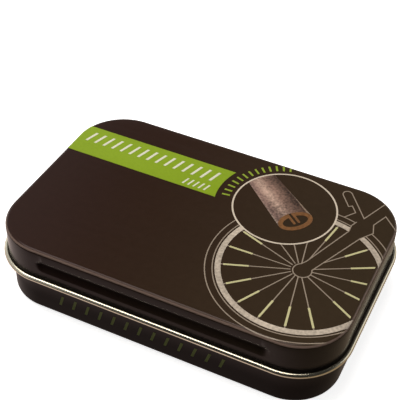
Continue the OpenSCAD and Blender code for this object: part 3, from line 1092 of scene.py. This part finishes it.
@dataclass
class Studio:
    """The camera, the lamps and a plain pale floor.

    Attributes:
        azimuth: The camera's angle to the right of the front.
        elevation: Its angle above level.
        roll: Its turn about its own axis.
        distance: How far it stands from the place that it aims at.
        aim: That place on the floor.
        focal_px: Its focal length in pixels of the photograph.
        centre_px: Where its axis meets the photograph.
        frame_px: The side of the photograph.
        sensor_mm: The width of its sensor.
        clip: The nearest and farthest distances that it shows.
        lamps: The lamps.
        lamp_aim: The height that they point at.
        warmth: Their colour.
        even_light: The level of the even light from all round.
        room: How bright the dark room looks in gloss.
        back_levels: The back wall's brightness in gloss, at its left and its right.
        back_turn: The sideways directions between which it changes.
        back_start: The backward directions between which it sets in.
        back_top: The upward directions between which it ends.
        left_level: The left wall's brightness in gloss.
        left_start: The sideways directions between which it sets in.
        left_top: The upward directions between which it ends.
        table_left: The table's colour in gloss, at its left.
        table_right: Its colour at its right.
        table_turn: The places along X between which it changes.
        table_front: The places along Y between which it sets in.
        table_core: Half of the rectangle that distances from the tin are counted from.
        contact_shadow_reach: The distances between which the painted shadow right at the tin fades out.
        contact_shadow_level: The table's brightness in gloss right at the tin, in its painted shadow.
        floor_size: The floor's side.
        floor_drop: How far it lies below the tin.
        floor_rough: Its roughness.
        floor_albedo: Its lightness for everything but the camera.
        floor_white: Its lightness for the camera.
        floor_glow: The light that it adds for the camera.
    """

    azimuth: float = 22.953
    elevation: float = 41.256
    roll: float = 2.881
    distance: float = 289.565 * MM
    aim: Span = (-6.784 * MM, 31.935 * MM)
    focal_px: float = 956.453
    centre_px: Span = (227.379, 201.323)
    frame_px: int = 400
    sensor_mm: float = 36.0
    clip: Span = (0.01, 20.0)
    lamps: tuple[Lamp, ...] = (
        Lamp("key", (-0.2, 0.0, 0.75), (0.45, 0.62), 3.8),
        Lamp("strip", (-0.2, 0.0, 0.72), (0.2, 0.32), 2.2, mirrored=False),
        Lamp("back_right", (0.45, 0.4, 0.24), (0.6, 0.36), 0.42),
    )
    lamp_aim: float = 10 * MM
    warmth: Colour = (1.0, 0.955, 0.9)
    even_light: float = 0.055
    room: float = 0.03
    back_levels: Span = (1.1, 0.25)
    back_turn: Span = (-0.4, 0.4)
    back_start: Span = (-0.1, 0.4)
    back_top: Span = (0.45, 0.62)
    left_level: float = 0.45
    left_start: Span = (-0.50, -0.36)
    left_top: Span = (0.80, 0.95)
    table_left: Colour = (0.89, 0.81, 0.78)
    table_right: Colour = (0.60, 0.53, 0.44)
    table_turn: Span = (20 * MM, 60 * MM)
    table_front: Span = (-57 * MM, -47 * MM)
    table_core: Span = (33.5 * MM, 16.5 * MM)
    contact_shadow_reach: Span = (16.5 * MM, 21.5 * MM)
    contact_shadow_level: float = 0.4
    floor_size: float = 6.0
    floor_drop: float = 0.02 * MM
    floor_rough: float = 0.9
    floor_albedo: float = 0.11
    floor_white: float = 0.9
    floor_glow: float = 0.84

    def camera(self) -> None:
        """Places the camera at the viewing angle of the photograph."""
        az, el, roll = (math.radians(a) for a in (self.azimuth, self.elevation, self.roll))
        back = Vector((math.sin(az) * math.cos(el), -math.cos(az) * math.cos(el), math.sin(el)))
        right = Vector((math.cos(az), math.sin(az), 0))
        up = back.cross(right)
        right, up = (
            math.cos(roll) * right + math.sin(roll) * up,
            math.cos(roll) * up - math.sin(roll) * right,
        )
        data = bpy.data.cameras.new("camera")
        made = bpy.data.objects.new("camera", data)
        bpy.context.scene.collection.objects.link(made)
        data.sensor_width = self.sensor_mm
        data.lens = self.focal_px * data.sensor_width / self.frame_px
        half = self.frame_px / 2
        data.shift_x = (half - self.centre_px[0]) / self.frame_px
        data.shift_y = (self.centre_px[1] - half) / self.frame_px
        data.clip_start, data.clip_end = self.clip
        place = Matrix((right, up, back)).transposed().to_4x4()
        place.translation = Vector((*self.aim, 0)) + back * self.distance
        made.matrix_world = place
        bpy.context.scene.camera = made

    def light(self, lamp: Lamp) -> None:
        """Hangs a lamp and points it at the tin.

        Args:
            lamp: The lamp.
        """
        data = bpy.data.lights.new(lamp.name, "AREA")
        data.shape = "RECTANGLE"
        data.size, data.size_y = lamp.size
        data.energy = lamp.watts
        data.color = self.warmth
        made = bpy.data.objects.new(lamp.name, data)
        bpy.context.scene.collection.objects.link(made)
        place = Vector(lamp.place)
        made.location = place
        made.rotation_mode = "QUATERNION"
        made.rotation_quaternion = (Vector((0, 0, self.lamp_aim)) - place).to_track_quat("-Z", "Y")
        made.visible_glossy = lamp.mirrored

    def world(self) -> None:
        """Lights the scene evenly, with white behind the object and a dark room in its gloss."""
        made = bpy.data.worlds.new("studio")
        bpy.context.scene.world = made
        made.use_nodes = True
        made.node_tree.nodes.clear()
        graph = Graph(made.node_tree)
        path = graph.node("LightPath").outputs
        level = graph.remap(path["Is Glossy Ray"], (0.0, 1.0), (self.even_light, self._walls(graph)))
        even = graph.node("Background", {"Color": grey(1.0), "Strength": level})
        seen = graph.node("Background", {"Color": grey(1.0)})
        both = graph.either(path["Is Camera Ray"], even.outputs[0], seen.outputs[0])
        graph.node("OutputWorld", {"Surface": both})

    def _walls(self, graph: Graph) -> Socket:
        """Works out what gloss sees: pale walls behind and at the left, and else a dark room.

        Args:
            graph: The world's nodes.

        Returns:
            The level.
        """
        way = graph.node("SeparateXYZ", {0: graph.node("TexCoord").outputs["Generated"]}).outputs
        low = graph.step(way["Z"], self.back_top, (1.0, 0.0))
        behind = graph.step(way["Y"], self.back_start)
        level = graph.step(way["X"], self.back_turn, self.back_levels)
        back = graph.math("MULTIPLY", graph.math("MULTIPLY", low, behind), level)
        tall = graph.step(way["Z"], self.left_top, (1.0, 0.0))
        level = graph.step(way["X"], self.left_start, (self.left_level, 0.0))
        left = graph.math("MULTIPLY", tall, level)
        return graph.math("ADD", graph.math("MAXIMUM", back, left), self.room)

    def floor(self) -> None:
        """Lays a pale floor that keeps the object's shadow."""
        Modeller.deselect()
        bpy.ops.mesh.primitive_plane_add(size=self.floor_size, location=(0, 0, -self.floor_drop))
        made = bpy.context.object
        made.name = "floor"
        made.data.materials.append(self._paper())

    def _paper(self) -> bpy.types.Material:
        """Makes paper that the camera sees white, and that gloss sees as a glowing warm table: a
        painted reflection with painted shadow at the tin.

        Returns:
            The floor's material.
        """
        paper = bpy.data.materials.new("floor_paper")
        paper.use_nodes = True
        graph = Graph(paper.node_tree)
        path = graph.node("LightPath").outputs
        albedo = graph.blend(path["Is Camera Ray"], grey(self.floor_albedo), grey(self.floor_white))
        shader = paper.node_tree.nodes["Principled BSDF"]
        graph.feed(shader, {
            "Base Color": albedo, "Roughness": self.floor_rough, "Specular IOR Level": 0.0,
        })
        dark, white = (graph.node("Emission", {"Strength": level}) for level in (0.0, self.floor_glow))
        glow = graph.either(path["Is Camera Ray"], dark.outputs[0], white.outputs[0])
        both = graph.node("AddShader", {0: shader.outputs[0], 1: glow})
        # Painted reflection: what gloss sees of the table is glowing colour, with painted shadow at the
        # tin and painted dark in front.
        table = graph.node("Emission", {"Color": self._cloth(graph), "Strength": self._shade(graph)})
        last = graph.either(path["Is Glossy Ray"], both.outputs[0], table.outputs[0])
        graph.feed(paper.node_tree.nodes["Material Output"], {"Surface": last})
        return paper

    def _shade(self, graph: Graph) -> Socket:
        """Works out how bright the glowing table is in gloss: painted shadow right at the tin, and
        painted dark well in front of it.

        Args:
            graph: The floor material's nodes.

        Returns:
            The strength.
        """
        place = graph.node("TexCoord").outputs["Object"]
        off = graph.vector("SUBTRACT", graph.vector("ABSOLUTE", place), (*self.table_core, 0))
        away = graph.vector("LENGTH", graph.vector("MAXIMUM", off, (0, 0, 0)))
        # Painted contact shadow round the tin, and painted dark well in front of it.
        clear = graph.step(away, self.contact_shadow_reach, (self.contact_shadow_level, 1.0))
        near = graph.step(graph.axis(place, "Y"), self.table_front, (self.room, 1.0))
        return graph.math("MULTIPLY", clear, near)

    def _cloth(self, graph: Graph) -> Socket:
        """Works out the table's colour, pale at the left and tan at the right.

        Args:
            graph: The floor material's nodes.

        Returns:
            The colour.
        """
        place = graph.node("TexCoord").outputs["Object"]
        share = graph.step(graph.axis(place, "X"), self.table_turn)
        return graph.blend(share, linear(self.table_left), linear(self.table_right))

    def build(self) -> None:
        """Sets up the whole studio."""
        bpy.context.scene.view_settings.view_transform = "Standard"
        self.camera()
        self.world()
        for lamp in self.lamps:
            self.light(lamp)
        self.floor()


class Dresser:
    """Gives each piece its finish and its place in the model."""

    def __init__(self, palette: Palette) -> None:
        """Builds the shared effects and the sheet's finishes.

        Args:
            palette: Every finish.
        """
        self.palette = palette
        self.effects = Effects()
        self.tinplate = palette.tinplate.material(self.effects)

    def coats(self, outside: Finish) -> Coats:
        """Pairs a lacquer with the bare inside of the sheet."""
        return (outside.material(self.effects), self.tinplate)

    def sheet(self, piece: Piece, part: str) -> None:
        """Shades a half of the tin and puts it in its node's place.

        Args:
            piece: The new mesh.
            part: The node that it replaces, which is also the body that it is attached to.
        """
        self.smooth(piece)
        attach(piece, part)
        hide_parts(part)

    @staticmethod
    def smooth(piece: Piece) -> None:
        """Shades a piece smooth wherever it turns less than the limit, and reports it.

        Args:
            piece: The finished mesh.
        """
        Modeller.select(piece)
        bpy.ops.object.shade_smooth_by_angle(angle=math.radians(SMOOTH_ANGLE))
        LOG.info("%s: %d faces", piece.name, len(piece.data.polygons))

    def print_field(self, node: str) -> None:
        """Gives a printed colour field its ink.

        Args:
            node: The field's node.
        """
        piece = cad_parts[node]
        piece.data.materials.clear()
        piece.data.materials.append(self.palette.ink(node).material(self.effects))
        LOG.info("%s: inked", node)


def main() -> None:
    """Builds and dresses every piece, then sets up the studio."""
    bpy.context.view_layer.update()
    sizes, hinge = TinSizes(), HingeSizes()
    palette = Palette()
    dresser = Dresser(palette)
    dresser.sheet(Lid(sizes, hinge).build(dresser.coats(palette.lid)), "lid")
    dresser.sheet(Base(sizes, hinge).build(dresser.coats(palette.base)), "base")
    tubes = sorted(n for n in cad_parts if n.startswith("reflector_"))
    plastic = palette.tube.material(dresser.effects)
    for number, node in enumerate(tubes):
        piece = SlitTube().build(number, node)
        dresser.smooth(piece)
        piece.data.materials.append(plastic)
        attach(piece, "base")
        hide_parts(node)
    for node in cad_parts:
        if node.startswith("print_"):
            dresser.print_field(node)
    Studio().build()
    Modeller.deselect()


if __name__ == "__main__":
    logging.basicConfig(level=logging.INFO)
    main()
